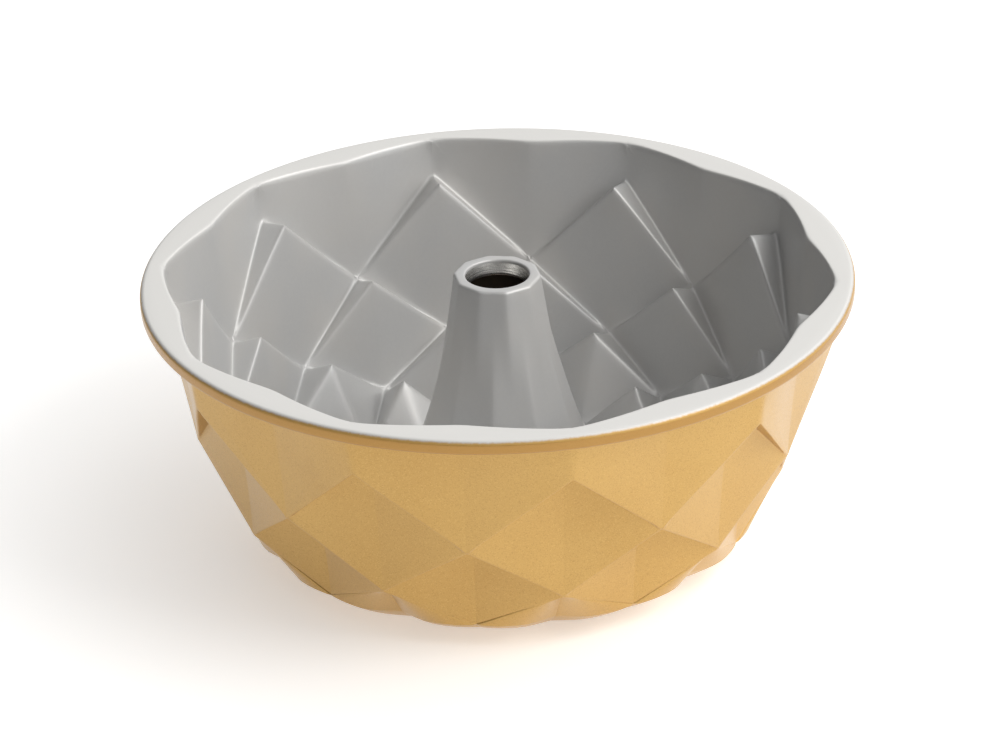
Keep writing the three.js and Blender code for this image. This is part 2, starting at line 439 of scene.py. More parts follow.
def roundPoints(points, creases):
    points = np.asarray(points, float)
    moves = np.zeros(points.shape)
    most = np.full(len(points), 1e-9)
    for p, q, shift, width in creases:
        along = q - p
        share = np.clip((points - p) @ along / along.dot(along), 0, 1)
        away = np.linalg.norm(points - p - share[:, None] * along, axis=1)
        move = (np.clip(width - away, 0, None) ** 2 / (2 * width))[:, None] * shift
        moves += move
        most = np.maximum(most, np.linalg.norm(move, axis=1))
    total = np.linalg.norm(moves, axis=1)
    return points + moves * (most * knotShare / np.maximum(total, most * knotShare))[:, None]


# sizes in millimetres; foldRound and cornerRound are shares of a panel's half width
mouthBow = {
    "most": 1.1,
    "depth": 42.0,
    "foldRound": 0.05,
    "cornerEase": 6,
    "cornerRound": 0.17,
    "cornerPull": 1.05,
    "cornerDepth": 9.0,
}


def bowMouth(points, face):
    # between its folds and its corners the mouth swells outwards, less and less down the wall
    points = np.asarray(points, float)
    radius = np.hypot(points[:, 0], points[:, 1])
    turned = np.arctan2(points[:, 1], points[:, 0]) / columnTurn
    fromFold = np.abs((turned + 2) % 2 - 1)
    soft = mouthBow["foldRound"]
    start = np.sqrt(fromFold**2 + soft**2) - soft
    swell = np.sin(math.pi * start) * (1 - fromFold ** mouthBow["cornerEase"])
    depth = totalHeight - points[:, 2] - face["down"]
    fade = np.clip(1 - depth / mouthBow["depth"], 0, 1) ** 1.5
    nearCorner = np.clip(1 - (1 - fromFold) / mouthBow["cornerRound"], 0, 1)
    pull = mouthBow["cornerPull"] * nearCorner**2 * np.clip(1 - depth / mouthBow["cornerDepth"], 0, 1) ** 2
    out = mouthBow["most"] * np.clip(swell, 0, 1) * fade - pull
    grow = 1 + out / np.maximum(radius, 1)
    return points * np.stack([grow, grow, np.ones(len(points))], axis=1)


class Shell:
    # a growing list of points and faces
    def __init__(self):
        self.points = []
        self.faces = []

    def add(self, points, faces):
        start = len(self.points)
        self.points += [np.asarray(p, float) for p in points]
        self.faces += [tuple(start + i for i in face) for face in faces]

    def addRows(self, rows):
        wide = len(rows[0])
        faces = [
            (r * wide + i, r * wide + i + 1, (r + 1) * wide + i + 1, (r + 1) * wide + i)
            for r in range(len(rows) - 1)
            for i in range(wide - 1)
        ]
        self.add([p for row in rows for p in row], faces)

    def addHalving(self, fine, coarse):
        # joins a line of points to one with half as many
        count = len(fine)
        faces = []
        for i in range(len(coarse) - 1):
            c, f = count + i, 2 * i
            faces += [(c, f, f + 1), (c, f + 1, c + 1), (c + 1, f + 1, f + 2)]
        self.add(list(fine) + list(coarse), faces)

    def round(self, creases):
        self.points = list(roundPoints(self.points, creases))

    def bow(self, face):
        self.points = list(bowMouth(self.points, face))

    def addFlatStrip(self, face, line, outs, creases):
        # rows out from the edge of a flat: the edge's rounding and bow fade out, and the last row stays
        rows = []
        for out in outs:
            row = np.array(line(out))
            moves = bowMouth(roundPoints(row, creases), face) - row
            moves[:, :2] *= 1 - out / outs[-1]
            moves[:, 2] *= out < outs[-1]
            rows.append(list(row + moves))
        self.addRows(rows)


def starLine(even, odd, depth, splits, first):
    # one tenth of a star with a corner at each column, from odd column first to the next odd one
    shares = edgeShares(splits)
    ends = [place(odd, first, depth), place(even, first + 1, depth), place(odd, first + 2, depth)]
    line = [lerp(ends[0], ends[1], share) for share in shares]
    return line + [lerp(ends[1], ends[2], share) for share in shares[1:]]


def mouthLine(face, out, splits, first):
    even = mouthRadius * face["grow"] + out
    odd = (mouthRadius - pan["mouthFold"]) * face["grow"] + out
    return starLine(even, odd, face["down"], splits, first)


def floorLine(face, inwards, splits, first):
    even = (pan["floorCorner"] - pan["floorNotch"]) * face["grow"] - inwards
    odd = pan["floorCorner"] * face["grow"] - inwards
    return starLine(even, odd, bowlDepth + face["down"], splits, first)


def circleLine(radius, depth, like):
    # points of a circle at the same angles as another line's
    angles = [math.atan2(p[1], p[0]) for p in like]
    return [np.array([radius * math.cos(a), radius * math.sin(a), totalHeight - depth]) for a in angles]


first = 1  # the column where the sector starts that every tenth of the bowl repeats


def facetsAround(rows, floor):
    # the named facets of the sector and of those beside it, with the flat rim above and floor below
    facets = []
    for column in range(first - 4, first + 5, 2):
        facets += wallFacets(rows, column)
        for side in (1, -1):
            names = (("rim", 0, column), ("corner", 0, column + side), ("fold", 0, column))
            facets.append(names[::side])
            if floor:
                low = (
                    ("corner", rows + 1, column),
                    ("corner", rows + 2, column + side),
                    ("middle", bowlDepth, 0),
                )
                facets.append(low[::side])
    return facets


bowl = {
    "inside": {
        "lip": 1.5, "fold": 2.5, "mouthCorner": 1.8, "ridge": 2.8, "stepCrease": 1.8,
        "tipEdge": 1.8, "stepFoot": 1.4, "valley": 1.4,
    },
    "outside": {
        "lip": 3, "fold": 2.5, "mouthCorner": 2, "ridge": 1.6, "stepCrease": 1,
        "tipEdge": 0.9, "stepFoot": 0.9, "valley": 1,
    },
    "lipRows": [0, 0.16, 0.4, 0.8, 1.3, 2, 3],
    "floorRows": [0, 0.16, 0.4, 0.8, 1.3, 2],
    "creasePress": 1.3,
    "foldPress": 0.7,
    "seamOut": 3,  # how far from the mouth the rim's own pieces begin
    "hiddenSplits": 9,
}


def insideSkin(face, splits, lipRows, floorRows):
    # the cavity's face, with a strip of rim above and of trough floor below
    skin = Shell()
    for names in wallFacets(len(pan["scaleRows"]), first):
        skin.add(*splitFacet([locate(face, name) for name in names], splits))
    creases = findCreases(face, facetsAround(len(pan["scaleRows"]), True), bowl["inside"], True)
    skin.round(creases)
    skin.bow(face)
    skin.addFlatStrip(face, lambda out: mouthLine(face, out, splits, first), lipRows, creases)
    if floorRows:
        skin.addFlatStrip(face, lambda out: floorLine(face, out, splits, first), floorRows, creases)
    return skin


def makeRepeatTree():
    g, port = makeGeometryTree(
        "repeatAround",
        {"Copies": "Int", "Join Distance": "Float", "Material": "Material"},
    )
    spots = g.make("GeometryNodePoints", None, {"Count": port["Copies"]})
    number = g.make("GeometryNodeInputIndex")
    turn = g.make("ShaderNodeCombineXYZ", None, {"Z": number * (2 * math.pi) / port["Copies"]})
    copies = g.make(
        "GeometryNodeInstanceOnPoints",
        None,
        {"Points": spots, "Instance": port["Geometry"], "Rotation": turn},
    )
    whole = g.make("GeometryNodeRealizeInstances", None, {"Geometry": copies})
    joined = g.make(
        "GeometryNodeMergeByDistance", None, {"Geometry": whole, "Distance": port["Join Distance"]}
    )
    endTree(g, joined, port["Material"])
    return g.tree


repeatTree = makeRepeatTree()


def repeatSector(name, shell, material):
    source = bpy.data.objects.new(name + "Sector", makeMesh(name + "Sector", shell.points, shell.faces))
    settings = {"Copies": pan["facetColumns"], "Join Distance": joinDistance, "Material": material}
    return runTree(source, repeatTree, settings, name)


def makeBowlCoat(material):
    splits, hidden = facetGrid["splits"], bowl["hiddenSplits"]
    out, inwards = bowl["seamOut"], bowl["floorRows"][-1]
    outHidden = out - pan["skinOut"]
    front = insideSkin(cavityFace, splits, bowl["lipRows"], bowl["floorRows"])
    back = insideSkin(castingFace, hidden, [0, 1, outHidden], [0, inwards])
    front.add(back.points, back.faces)
    for line, gap, gapHidden in ((mouthLine, out, outHidden), (floorLine, inwards, inwards)):
        front.addHalving(
            line(cavityFace, gap, splits, first), line(castingFace, gapHidden, hidden, first)
        )
    return repeatSector("bowlCoat", front, material)


under = {
    "lobeRound": 1.3,
    "lobeFullness": 0.6,  # below 1 the lobes are squarer
    "lobeGroove": 3.5,
    "grooveWidth": 0.3,  # share of half a lobe
    "grooveStep": 3.2,
    "grooveStart": 0.04,  # share of the way down where the recess is full
    "footRadius": 66,
    "heelPull": 0.48,  # how far out the curve from the lobes to the foot stays full
    "heelLift": 0.3,
    "rows": 14,
}


def lobePoint(share):
    # from one second-row bottom tip to the next, round two half lobes with a groove between
    low = corner(outerFace, 4, first)
    radius = math.hypot(low[0], low[1])
    away = abs(2 * share - 1)  # 0 at the groove, 1 at the tips
    swell = under["lobeRound"] * math.sin(math.pi * away) ** under["lobeFullness"] if 0 < away < 1 else 0
    groove = under["lobeGroove"] * math.exp(-((away / under["grooveWidth"]) ** 2))
    return place(radius + swell - groove, first + 2 * share, totalHeight - low[2])


def addUnderside(shell, creases, splits):
    half = edgeShares(splits) / 2
    lobes = [lobePoint(share) for share in list(half) + list(0.5 + half[1:])]
    top = corner(outerFace, 3, first + 1)
    inwards = np.array([-top[0], -top[1], 0]) / math.hypot(top[0], top[1])
    for start in (0, 0.5):

        def spot(share):
            if share[0] == 1:
                return top
            across = start + 0.5 * share[2] / (share[1] + share[2])
            down = 1 - share[0]
            recess = (1 - abs(2 * across - 1)) * share[0] * min(1, down / under["grooveStart"])
            return lerp(top, lobePoint(across), down) + inwards * under["grooveStep"] * recess

        shell.add(*gridFacet(splits, spot))
    shell.round(creases)
    rows = []
    for share in np.linspace(0, 1, under["rows"] + 1):
        row = []
        for low in lobes:
            radius = math.hypot(low[0], low[1])
            heel = lerp(under["footRadius"], radius, under["heelPull"])
            weights = [(1 - share) ** 2, 2 * share * (1 - share), share**2]
            r = np.dot(weights, [radius, heel, under["footRadius"]])
            z = np.dot(weights, [low[2], under["heelLift"], 0])
            row.append(np.array([low[0] / radius * r, low[1] / radius * r, z]))
        rows.append(row)
    rows[0] = list(roundPoints(rows[0], creases))
    shell.addRows(rows)
    foot = rows[-1]
    flat = floorLine(outerFace, 0, splits, first)
    shell.addRows([foot, [lerp(a, b, 0.5) for a, b in zip(foot, flat)], flat])


def outerCreases():
    rows = pan["outerRows"]
    facets = facetsAround(rows, False)
    for column in range(first - 3, first + 6, 2):
        facets.append((("corner", 3, column), ("corner", 4, column + 1), ("corner", 4, column - 1)))
    return findCreases(outerFace, facets, bowl["outside"], False)


def makeBowlShell(material):
    splits, hidden = facetGrid["splits"], bowl["hiddenSplits"]
    shell = Shell()
    creases = outerCreases()
    for names in wallFacets(pan["outerRows"], first):
        corners = [locate(outerFace, name) for name in names]
        upright = [i for i in range(3) if sum(names[i][2] == other[2] for other in names) == 2]
        kinds = {names[i][0] for i in upright}
        isStep = kinds == {"corner", "tip"} and len({names[i][1] for i in upright}) == 1
        if not upright or isStep or kinds == {"corner"}:
            shell.add(*splitFacet(corners, splits))
        else:
            depth = bowl["foldPress"] if "fold" in kinds else bowl["creasePress"]
            shell.add(*splitPressedFacet(corners, splits, upright, depth))
    addUnderside(shell, creases, splits)
    shell.bow(outerFace)
    shell.addFlatStrip(
        outerFace, lambda out: mouthLine(outerFace, out, splits, first), bowl["lipRows"], creases
    )
    outHidden = bowl["seamOut"] - pan["skinOut"]
    back = insideSkin(castingFace, hidden, [0, 1, outHidden], [])
    shell.add(back.points, back.faces)
    shell.addHalving(
        mouthLine(outerFace, bowl["seamOut"], splits, first),
        mouthLine(castingFace, outHidden, hidden, first),
    )
    facets = facetsAround(len(pan["scaleRows"]), True)
    innerCreases = findCreases(castingFace, facets, bowl["inside"], True)
    high = roundPoints(floorLine(castingFace, 0, hidden, first), innerCreases)
    shell.addHalving(floorLine(outerFace, 0, splits, first), list(high))
    return repeatSector("bowlShell", shell, material)


rim = {
    "edgeRound": 1.9,  # rounding of the rim's upper edge
    "lowRound": 1.5,
    "edgeSteps": 7,
    "coatDepth": 1.3,
}


def rimSection():
    # radius and depth of the rim's outer edge, from the top face round to the underside
    turns = np.linspace(0, math.pi / 2, rim["edgeSteps"] + 1)
    high, low = rim["edgeRound"], rim["lowRound"]
    top = [(rimRadius - high + high * math.sin(t), high - high * math.cos(t)) for t in turns]
    bottom = [
        (rimRadius - low + low * math.cos(t), pan["wallDown"] - low + low * math.sin(t)) for t in turns
    ]
    return top + bottom


def makeRim(name, material, isCoat):
    # the coat is the rim's part above the seam, and the flange the part below it
    splits, seam = facetGrid["splits"], rim["coatDepth"]
    upper = mouthLine(cavityFace, bowl["seamOut"], splits, first)
    middle = mouthLine(castingFace, bowl["seamOut"] - pan["skinOut"], splits, first)
    lower = mouthLine(outerFace, bowl["seamOut"], splits, first)
    section = rimSection()
    crossing = next(i for i, (_, depth) in enumerate(section) if depth > seam)
    (r0, d0), (r1, d1) = section[crossing - 1], section[crossing]
    border = (r0 + (r1 - r0) * (seam - d0) / (d1 - d0), seam)
    if isCoat:
        flat, edge = upper, section[:crossing] + [border]
    else:
        flat, edge = lower, section[crossing:][::-1] + [border]
    rings = [circleLine(radius, depth, upper) for radius, depth in edge]
    halfway = [lerp(a, b, 0.5) for a, b in zip(flat, rings[0])]
    shell = Shell()
    shell.addRows([middle, flat, halfway] + rings + [middle])
    return repeatSector(name, shell, material)


def makeFootRing(material):
    splits = facetGrid["splits"]
    even, odd = tubeFoot(pan["skinDown"])
    low = starLine(even, odd, totalHeight, splits, first)
    high = starLine(even, odd, bowlDepth + pan["skinDown"], splits, first)
    outside = [floorLine(face, 0, splits, first) for face in (outerFace, castingFace)]
    shell = Shell()
    shell.addRows([low] + outside + [high, low])
    return repeatSector("footRing", shell, material)


tube = {
    "topRadius": 15.8,
    "footRadius": 43.5,
    "flare": 0.59,
    "turnStart": 10,
    "turnEnd": 42,
    "ridgeWidth": 1.3,
    "wall": 3.4,
    "footFillet": 2.6,
    "footReach": 3.0,  # how far out over the trough's floor the coat's foot runs
    "topEdge": 1.1,
    "topRound": 1.6,  # from here in to the bore the flat top is plain round
    "ledgeInset": 3.2,  # how far in the collar's own top begins
    "upperRow": 4,  # depth of the side's first row below the top's edge
    "backRow": 10,  # depth of the coat's hidden face's first even row
    "boreTop": 11.4,
    "boreLow": 10.4,
    "boreDepth": 4.4,
    "boreLip": 0.7,
    # how far the rounding of a lower edge reaches, and how near its middle comes to the corner
    "boreEdge": (0.5, 0.15, 0.12),
    "hollowEdge": (1.5, 0.4),
    "boreRows": (4.6, 3.8, 3, 2.2),
    "around": 9,  # points to each column's width
}
flatOverCorner = math.cos(columnTurn)


def tubeFoot(inset):
    return tube["footRadius"] * flatOverCorner - inset, tube["footRadius"] - inset * flatOverCorner


def makeTubeTree():
    # Each point of the flat sheet says its column (x), depth (y), how far it lies in from the fluted
    # side, and how round it is: 1 puts it on a plain circle of the radius that inset then gives.
    g, port = makeGeometryTree(
        "flutedTube",
        {
            "Height": "Float", "Top Radius": "Float", "Foot Radius": "Float", "Flare": "Float",
            "Depth": "Float", "Turn Start": "Float", "Turn End": "Float", "Ridge Width": "Float",
            "Columns": "Int", "Join Distance": "Float", "Material": "Material",
        },
    )
    spot = g.make("ShaderNodeSeparateXYZ", None, {0: g.make("GeometryNodeInputPosition")})
    column, depth = g.out(spot, "X"), g.out(spot, "Y")
    inset = g.make("GeometryNodeInputNamedAttribute", {"data_type": "FLOAT"}, {"Name": "inset"})
    roundness = g.make("GeometryNodeInputNamedAttribute", {"data_type": "FLOAT"}, {"Name": "round"})
    share = g.calc("MINIMUM", depth / port["Depth"], 1.0)
    flared = share * (1 - port["Flare"]) + share * share * port["Flare"]
    radius = port["Top Radius"] + (port["Foot Radius"] - port["Top Radius"]) * flared
    turned = g.ramp(depth, port["Turn Start"], port["Turn End"])
    step = 2 * math.pi / port["Columns"]
    sinStep, cosStep = g.calc("SINE", step), g.calc("COSINE", step)
    even = radius * (1 + (cosStep - 1) * turned) - inset
    odd = radius * (cosStep + (1 - cosStep) * turned) - inset * cosStep
    away = g.calc("PINGPONG", column, 1.0)  # 0 at an even column, 1 at an odd one
    side = g.calc("SINE", away * step) * even + g.calc("SINE", (1 - away) * step) * odd
    straight = even * odd * sinStep / side
    width = port["Ridge Width"]
    evenReach = g.calc("MAXIMUM", width - away * step * straight, 0.0)
    oddReach = g.calc("MAXIMUM", width - (1 - away) * step * straight, 0.0)
    blunt = (evenReach * evenReach * (1 - turned) + oddReach * oddReach * turned) * sinStep / (2 * width)
    sideRadius = straight - blunt
    finalRadius = sideRadius + (inset - sideRadius) * roundness
    angle = column * step
    where = g.make(
        "ShaderNodeCombineXYZ",
        None,
        {
            "X": finalRadius * g.calc("COSINE", angle),
            "Y": finalRadius * g.calc("SINE", angle),
            "Z": port["Height"] - depth,
        },
    )
    bent = g.make("GeometryNodeSetPosition", None, {"Geometry": port["Geometry"], "Position": where})
    sized = g.make("GeometryNodeTransform", None, {"Geometry": bent, "Scale": (metres,) * 3})
    closed = g.make(
        "GeometryNodeMergeByDistance", None, {"Geometry": sized, "Distance": port["Join Distance"]}
    )
    plain = g.make("GeometryNodeRealizeInstances", None, {"Geometry": closed})
    endTree(g, plain, port["Material"])
    return g.tree


tubeTree = makeTubeTree()


def wrapTube(name, section, material):
    # section: depth, inset and roundness of each point round the tube's closed cross-section
    spots = [c + t for c in range(columns) for t in edgeShares(tube["around"])[:-1]] + [columns]
    section = section + [section[0]]
    shell = Shell()
    shell.addRows([[np.array([c, depth, 0.0]) for c in spots] for depth, _, _ in section])
    mesh = makeMesh(name + "Sheet", shell.points, shell.faces, 1)
    for label, pick in (("inset", 1), ("round", 2)):
        values = [row[pick] for row in section for _ in spots]
        mesh.attributes.new(label, "FLOAT", "POINT").data.foreach_set("value", values)
    settings = {
        "Height": totalHeight, "Top Radius": tube["topRadius"], "Foot Radius": float(tube["footRadius"]),
        "Flare": tube["flare"], "Depth": float(bowlDepth), "Turn Start": float(tube["turnStart"]),
        "Turn End": float(tube["turnEnd"]), "Ridge Width": tube["ridgeWidth"], "Columns": columns,
        "Join Distance": joinDistance / 2, "Material": material,
    }
    return runTree(bpy.data.objects.new(name + "Sheet", mesh), tubeTree, settings, name)


def arc(depth, inset, radius, start, end, steps):
    # points of a circle in the section, by depth and inset; angles from straight up, turning inwards
    angles = np.radians(np.linspace(start, end, steps + 1))
    return [(depth - radius * math.cos(a), inset + radius * math.sin(a)) for a in angles]


def tubeRadius(depth):
    share = min(depth / bowlDepth, 1)
    flared = share * (1 - tube["flare"]) + share * share * tube["flare"]
    return tube["topRadius"] + (tube["footRadius"] - tube["topRadius"]) * flared


def makeTubeCoat(material):
    skin, boreTop, lip = pan["skinDown"], tube["boreTop"], tube["boreLip"]
    fillet, edge, reach, upper = tube["footFillet"], tube["topEdge"], tube["footReach"], tube["upperRow"]
    outer = [(bowlDepth, -reach)]
    # concave fillet where the side meets the floor
    for t in np.linspace(0, 1, 7):
        outer.append((bowlDepth - fillet * t * t, -fillet * (1 - t) ** 2))
    outer += [(d, 0) for d in np.linspace(bowlDepth - fillet - 2, upper, 30)]
    outer += arc(edge, edge, edge, -90, 0, 6)
    section = [(d, i, 0) for d, i in outer]
    section += [(0, boreTop + tube["topRound"], 1)]
    section += [(d, boreTop + lip - i, 1) for d, i in arc(lip, 0, lip, 0, 90, 5)]
    section += [(skin, boreTop, 1), (skin, tube["ledgeInset"], 0), (upper, skin, 0)]
    section += [(d, skin, 0) for d in np.linspace(tube["backRow"], bowlDepth - reach, 12)]
    section += [(bowlDepth + skin, skin, 0), (bowlDepth + skin, -reach, 0)]
    return wrapTube("tubeCoat", section, material)


def hollowRadius(depth):
    return (tubeRadius(depth) - tube["wall"]) * flatOverCorner


def makeTubeCore(material):
    skin = pan["skinDown"]
    edge, near = tube["hollowEdge"]
    depths = np.linspace(skin + tube["boreDepth"], bowlDepth, 14)
    section = [(d, skin, 0) for d in depths] + [(totalHeight, skin, 0)]
    low = hollowRadius(bowlDepth)
    section += [(totalHeight, low + edge, 1), (totalHeight - near, low + near, 1)]
    section += [(totalHeight - edge, low, 1)]
    section += [(d, hollowRadius(d), 1) for d in depths[::-1]]
    return wrapTube("tubeCore", section, material)


def makeCollar(material):
    skin, top, low = pan["skinDown"], tube["boreTop"], tube["boreLow"]
    edge, nearDown, nearOut = tube["boreEdge"]
    bottom = skin + tube["boreDepth"]
    section = [(skin, top, 1), (skin, tube["ledgeInset"], 0), (bottom, skin, 0), (bottom, low + edge, 1)]
    section += [(bottom - nearDown, low + nearOut, 1), (bottom - edge, low, 1)]
    for depth in tube["boreRows"]:
        share = (bottom - edge - depth) / (bottom - edge - skin)
        section.append((depth, lerp(low, top, share), 1))
    return wrapTube("collar", section, material)


def newMaterial(name, fallback):
    material = bpy.data.materials.new(name)
    material.use_nodes = True
    material.diffuse_color = fallback
    tree = material.node_tree
    tree.nodes.clear()
    graph = Graph(tree)
    coordinates = tree.nodes.new("ShaderNodeTexCoord")
    return material, graph, Wire(graph, coordinates.outputs["Object"])


def endMaterial(graph, values):
    shader = graph.make("ShaderNodeBsdfPrincipled", None, values)
    sink = graph.tree.nodes.new("ShaderNodeOutputMaterial")
    graph.plug(shader, sink.inputs["Surface"])


def depthAndRadius(graph, where):
    # millimetres down from the rim's top and out from the chimney's axis
    spot = graph.make("ShaderNodeSeparateXYZ", None, {0: where})
    x, y = graph.out(spot, "X"), graph.out(spot, "Y")
    return (
        totalHeight - graph.out(spot, "Z") / metres,
        graph.calc("SQRT", x * x + y * y) / metres,
    )


def noise(graph, where, scale, detail=2.0, roughness=0.5):
    return graph.make(
        "ShaderNodeTexNoise",
        None,
        {"Vector": where, "Scale": scale, "Detail": detail, "Roughness": roughness},
    )


goldFinish = {
    "colour": (0.52, 0.31, 0.085, 1),
    "light": (0.65, 0.42, 0.14, 1),
    "dark": (0.33, 0.18, 0.04, 1),
    "metallic": 0.6,
    "roughness": 0.36,
    # painted shade: a darker colour in a band round the rim's edge and just under it
    "underRimShade": (0.38, 0.19, 0.035, 1),
    "underRimShadeShare": 0.75,
    "underRimShadeStart": (0.8, 1.8),  # millimetres down from the rim's top
    "underRimShadeEnd": (4.5, 7.0),
    "flakeScale": 3200.0,
    "flakeDepth": 0.00006,
    "cloudScale": 22.0,
    "chimneyShade": (0.02, 0.018, 0.015, 1),  # painted shade up inside the chimney's hollow
    "chimneyShadeShare": 0.97,
    "coatWeight": 0.35,
    "coatRoughness": 0.22,
}

coatFinish = {
    "colour": (0.56, 0.56, 0.558, 1),
    "warm": (0.585, 0.575, 0.56, 1),
    "speck": (0.60, 0.60, 0.59, 1),
    "speckShare": 0.35,
    # painted light: the colour that makes the rim's flat top lighter, as if lit from above
    "rim": (0.80, 0.79, 0.765, 1),
    "metallic": 0.36,
    "roughness": 0.48,
    "mistStart": 0.25,
    "mistEnd": 1.0,
    "patchScale": 28.0,
    "speckScale": 900.0,
    "grainScale": 2600.0,
    "grainDepth": 0.00004,
}


def makeCoatMaterial():
    material, g, where = newMaterial("nonstickGrey", coatFinish["colour"])
    patches = noise(g, where, coatFinish["patchScale"], 3.0)
    grain = noise(g, where, coatFinish["grainScale"], 2.0)
    specks = noise(g, where, coatFinish["speckScale"], 2.0)
    colour = g.blend(g.ramp(patches, 0.35, 0.65), coatFinish["colour"], coatFinish["warm"])
    colour = g.blend(
        g.ramp(specks, 0.3, 0.75) * coatFinish["speckShare"], colour, coatFinish["speck"]
    )
    rough = coatFinish["roughness"] + (patches - 0.5) * 0.1 + (specks - 0.5) * 0.08
    # the rim's flat top is painted lighter, as painted light falling on it from above, and gold mist from
    # the outside's spray lies round its edge
    down, across = depthAndRadius(g, where)
    paintedRimLight = (1 - g.ramp(down, 0.0, 0.7)) * g.ramp(across, 60.0, 80.0)
    colour = g.blend(paintedRimLight, colour, coatFinish["rim"])
    mist = g.ramp(down + (specks - 0.5) * 0.5, coatFinish["mistStart"], coatFinish["mistEnd"])
    atEdge = g.ramp(across, rimRadius - 3, rimRadius - 2)
    colour = g.blend(mist * atEdge, colour, goldFinish["colour"])
    bump = g.make(
        "ShaderNodeBump", None, {"Strength": 0.35, "Distance": coatFinish["grainDepth"], "Height": grain}
    )
    endMaterial(
        g,
        {
            "Base Color": colour, "Metallic": coatFinish["metallic"], "Roughness": rough, "Normal": bump,
            "Coat Weight": 0.0, "IOR": 1.5,
        },
    )
    return material


def makeGoldMaterial():
    material, g, where = newMaterial("goldEnamel", goldFinish["colour"])
    flakes = g.make("ShaderNodeTexVoronoi", None, {"Vector": where, "Scale": goldFinish["flakeScale"]})
    sparkle = g.make("ShaderNodeSeparateColor", None, {0: g.out(flakes, "Color")})
    lit, deep = g.out(sparkle, "Red"), g.out(sparkle, "Green")
    clouds = noise(g, where, goldFinish["cloudScale"], 3.0)
    colour = g.blend(g.ramp(clouds, 0.3, 0.7) * 0.3, goldFinish["colour"], goldFinish["light"])
    colour = g.blend(g.ramp(lit, 0.72, 1.0) * 0.5, colour, goldFinish["light"])
    colour = g.blend(g.ramp(deep, 0.75, 1.0) * 0.35, colour, goldFinish["dark"])
    down, across = depthAndRadius(g, where)
    # painted shade: a darker band round the rim's edge and under it, and near-black painted shade up
    # inside the chimney
    underRimShade = g.ramp(down, *goldFinish["underRimShadeStart"]) * (1 - g.ramp(down, *goldFinish["underRimShadeEnd"]))
    colour = g.blend(underRimShade * goldFinish["underRimShadeShare"], colour, goldFinish["underRimShade"])
    # painted shade: near-black colour up inside the chimney, strongest high up and near the axis
    chimneyShadeMask = (1 - g.ramp(across, 24.0, 34.0)) * (1 - g.ramp(down, 45.0, 75.0))
    colour = g.blend(chimneyShadeMask * goldFinish["chimneyShadeShare"], colour, goldFinish["chimneyShade"])
    rough = goldFinish["roughness"] + (lit - 0.5) * 0.12 + (clouds - 0.5) * 0.06
    bump = g.make(
        "ShaderNodeBump", None, {"Strength": 0.25, "Distance": goldFinish["flakeDepth"], "Height": lit}
    )
    endMaterial(
        g,
        {
            "Base Color": colour, "Metallic": goldFinish["metallic"], "Roughness": rough, "Normal": bump,
            "Coat Weight": goldFinish["coatWeight"], "Coat Roughness": goldFinish["coatRoughness"],
        },
    )
    return material


metalFinish = {
    "colour": (0.72, 0.71, 0.69, 1),
    "scuff": (0.42, 0.41, 0.39, 1),
    "roughness": 0.28,
    "ringScale": 4000.0,
    "scuffScale": 260.0,
    "markDepth": 0.00006,
}


def makeMetalMaterial():
    material, g, where = newMaterial("machinedAluminium", metalFinish["colour"])
    split = g.make("ShaderNodeSeparateXYZ", None, {0: where})
    rings = g.make(
        "ShaderNodeTexNoise",
        {"noise_dimensions": "1D"},
        {"W": g.out(split, "Z"), "Scale": metalFinish["ringScale"], "Detail": 3.0},
    )
    stretch = g.make("ShaderNodeMapping", None, {"Vector": where, "Scale": (1.0, 1.0, 12.0)})
    scuffs = noise(g, stretch, metalFinish["scuffScale"], 4.0, 0.7)
    colour = g.blend(g.ramp(scuffs, 0.45, 0.7) * 0.5, metalFinish["colour"], metalFinish["scuff"])
    rough = metalFinish["roughness"] + (rings - 0.5) * 0.25 + (scuffs - 0.5) * 0.2
    height = rings + scuffs * 0.6
    bump = g.make(
        "ShaderNodeBump", None, {"Strength": 0.5, "Distance": metalFinish["markDepth"], "Height": height}
    )
    endMaterial(g, {"Base Color": colour, "Metallic": 1.0, "Roughness": rough, "Normal": bump})
    return material


coatGrey = makeCoatMaterial()
gold = makeGoldMaterial()
aluminium = makeMetalMaterial()
print("finishes made")


def fit(piece, slotName, *nodes):
    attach(piece, "root")
    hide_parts(*nodes)
    return piece


fit(makeBowlCoat(coatGrey), "nonstick_grey", "bowl_lining")
fit(makeRim("rimCoat", coatGrey, True), "nonstick_grey", "rim_lining")
fit(makeTubeCoat(coatGrey), "nonstick_grey", "tube_lining")
fit(makeBowlShell(gold), "gold_enamel", "bowl_wall")
fit(makeRim("rimFlange", gold, False), "gold_enamel", "rim_flange")
fit(makeFootRing(gold), "gold_enamel", "foot_ring")
fit(makeTubeCore(gold), "gold_enamel", "centre_tube")
fit(makeCollar(aluminium), "bare_aluminium", "tube_collar")
print("pan built")


studio = {
    "floorColour": (0.9, 0.9, 0.895, 1),
    "floorSize": 14.0,
    "floorGlow": 0.42,
    "skyLow": 0.05,
    # the way to each soft light, how much it adds, and the cosines where it starts and is full
    "softLights": [
        ((0.85, -0.25, 0.50), 1.1, 0.38, 0.95, (1.0, 0.99, 0.975, 1)),
        ((0.10, 0.88, 0.45), 0.80, 0.5, 0.98, (1.0, 1.0, 1.0, 1)),
        ((0.30, 0.0, 0.95), 0.30, 0.2, 0.95, (1.0, 1.0, 1.0, 1)),
    ],
    # name, place, size, power, colour
    "lamps": [
        ("key", (1.5, -0.5, 1.5), (1.2, 1.2), 18.0, (1.0, 0.99, 0.97)),
    ],
    "lookAt": (0, 0, 0.05),
}


